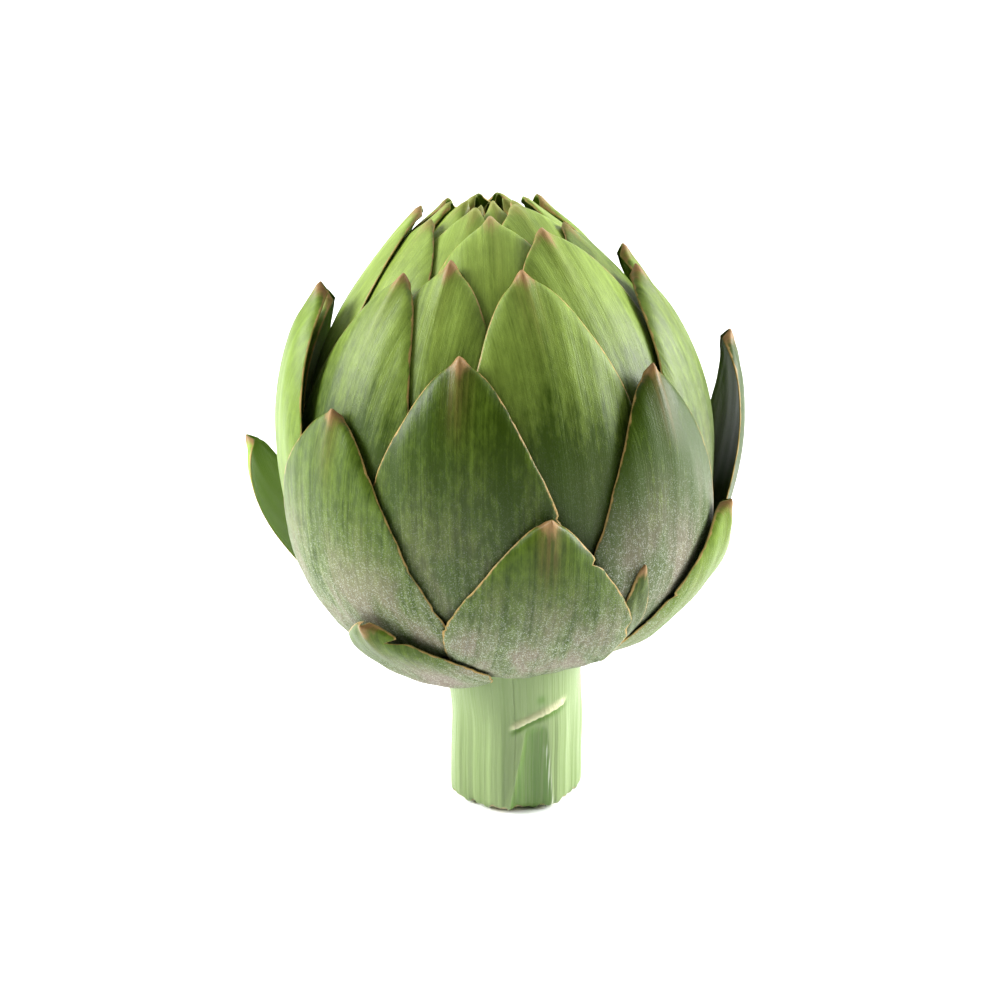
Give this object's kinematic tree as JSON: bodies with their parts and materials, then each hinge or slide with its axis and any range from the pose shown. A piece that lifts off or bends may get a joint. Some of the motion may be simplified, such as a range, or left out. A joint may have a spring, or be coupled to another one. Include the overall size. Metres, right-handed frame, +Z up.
{
  "type": "globe artichoke",
  "caption": "Fresh globe artichoke standing on its cut stem: overlapping pointed green bracts spiral up a round head to a small opening at the crown.",
  "frame": {"origin": "centre of the stem's flat cut base, on the surface it stands on", "axes": "+Z up from the cut through the stem towards the crown, -Y the head's front, +X to the right seen from the front; the head nods about 3 degrees towards -X"},
  "size_m": [0.1101, 0.0979, 0.1379],
  "materials": {
    "stem_and_heart": "matt pale green rind with lengthwise fibres",
    "choke": "soft cream bristles",
    "bract_outer": "leathery green with a grey bloom and tan margins",
    "bract_inner": "leathery pale green with tan margins"
  },
  "bodies": {
    "root": {"stem_and_heart": "stem_and_heart", "choke": "choke", "inner_bracts": "bract_inner", "bract_01": "bract_outer", "bract_02": "bract_outer", "bract_03": "bract_outer", "bract_04": "bract_outer", "bract_05": "bract_outer", "bract_06": "bract_outer", "bract_07": "bract_outer", "bract_08": "bract_outer", "bract_09": "bract_outer", "bract_10": "bract_outer", "bract_11": "bract_outer", "bract_12": "bract_outer", "bract_13": "bract_outer", "bract_14": "bract_outer", "bract_15": "bract_outer", "bract_16": "bract_outer", "bract_17": "bract_outer", "bract_18": "bract_outer", "bract_19": "bract_inner", "bract_20": "bract_inner", "bract_21": "bract_inner", "bract_22": "bract_inner", "bract_23": "bract_inner", "bract_24": "bract_inner", "bract_25": "bract_inner", "bract_26": "bract_inner", "bract_27": "bract_inner", "bract_28": "bract_inner", "bract_29": "bract_inner", "bract_30": "bract_inner", "bract_31": "bract_inner", "bract_32": "bract_inner", "bract_33": "bract_inner", "bract_34": "bract_inner", "bract_35": "bract_inner", "bract_36": "bract_inner", "bract_37": "bract_inner", "bract_38": "bract_inner", "bract_39": "bract_inner", "bract_40": "bract_inner", "bract_41": "bract_inner", "bract_42": "bract_inner", "bract_43": "bract_inner", "bract_44": "bract_inner", "bract_45": "bract_inner", "bract_46": "bract_inner", "bract_47": "bract_inner", "bract_48": "bract_inner", "bract_49": "bract_inner", "bract_50": "bract_inner", "bract_51": "bract_inner", "bract_52": "bract_inner", "bract_53": "bract_inner", "bract_54": "bract_inner"}
  },
  "joints": []
}
